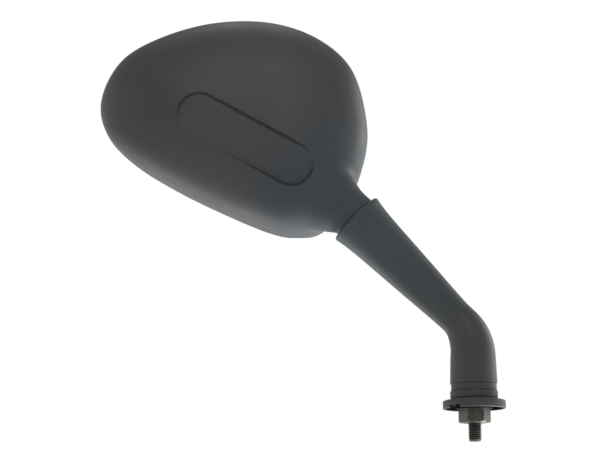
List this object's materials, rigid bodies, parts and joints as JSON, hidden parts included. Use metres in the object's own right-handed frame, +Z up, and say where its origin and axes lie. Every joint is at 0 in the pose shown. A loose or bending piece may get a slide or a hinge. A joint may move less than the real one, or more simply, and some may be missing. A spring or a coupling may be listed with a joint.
{
  "type": "motorcycle mirror",
  "caption": "Egg-shaped rear-view mirror on a ball joint and a bent tapered arm, with a swivelling foot on a threaded hexagon stud.",
  "frame": {"origin": "on the stud's axis, at the lower face of the hexagon", "axes": "+Z up along the stud into the foot; +Y the way the glass faces, towards the rider; the head reaches out to -X"},
  "size_m": [0.247, 0.0494, 0.2669],
  "materials": {
    "stud_steel": "black-oxided, lightly worn",
    "spring_steel": "satin",
    "zinc_steel": "zinc plated",
    "foot_plastic": "fine moulded grain",
    "arm_plastic": "fine moulded grain",
    "shell_plastic": "fine moulded grain",
    "inner_plastic": "plain moulded",
    "nylon": "natural",
    "cast_metal": "die-cast",
    "foam": "closed-cell",
    "gasket_rubber": "matt",
    "silvered_glass": "polished, convex"
  },
  "bodies": {
    "stud": {"mounting_stud": "stud_steel", "base_flange": "foot_plastic", "friction_washer": "nylon", "spigot_washer": "spring_steel", "disc_springs": "spring_steel", "retaining_ring": "spring_steel"},
    "arm": {"arm": "arm_plastic", "swivel_sleeve": "foot_plastic", "socket_cup": "cast_metal", "tension_bolt": "zinc_steel", "ball_saddle": "spring_steel", "tension_spring": "spring_steel", "spring_washer": "spring_steel", "lock_nut": "zinc_steel"},
    "twist": {"friction_liner": "nylon"},
    "tilt": {"saddle_liner": "nylon"},
    "head": {"housing": "shell_plastic", "ball_bracket": "cast_metal", "bracket_screws": "zinc_steel", "glass_carrier": "inner_plastic", "carrier_screws": "zinc_steel", "foam_pad": "foam", "mirror_glass": "silvered_glass", "rim_gasket": "gasket_rubber"}
  },
  "joints": [
    {"name": "arm_swivel", "type": "hinge", "parent": "stud", "child": "arm", "pos_m": [0, 0, 0.0235], "axis": [0, 0, 1], "continuous": true},
    {"name": "head_twist", "type": "hinge", "parent": "arm", "child": "twist", "pos_m": [-0.07099, 0, 0.12752], "axis": [-0.6947, 0, 0.7193], "continuous": true},
    {"name": "head_tilt", "type": "hinge", "parent": "twist", "child": "tilt", "pos_m": [-0.07099, 0, 0.12752], "axis": [0, 1, 0], "range_deg": [-10, 10]},
    {"name": "head_nod", "type": "hinge", "parent": "tilt", "child": "head", "pos_m": [-0.07099, 0, 0.12752], "axis": [0.7193, 0, 0.6947], "range_deg": [-10, 10]}
  ]
}
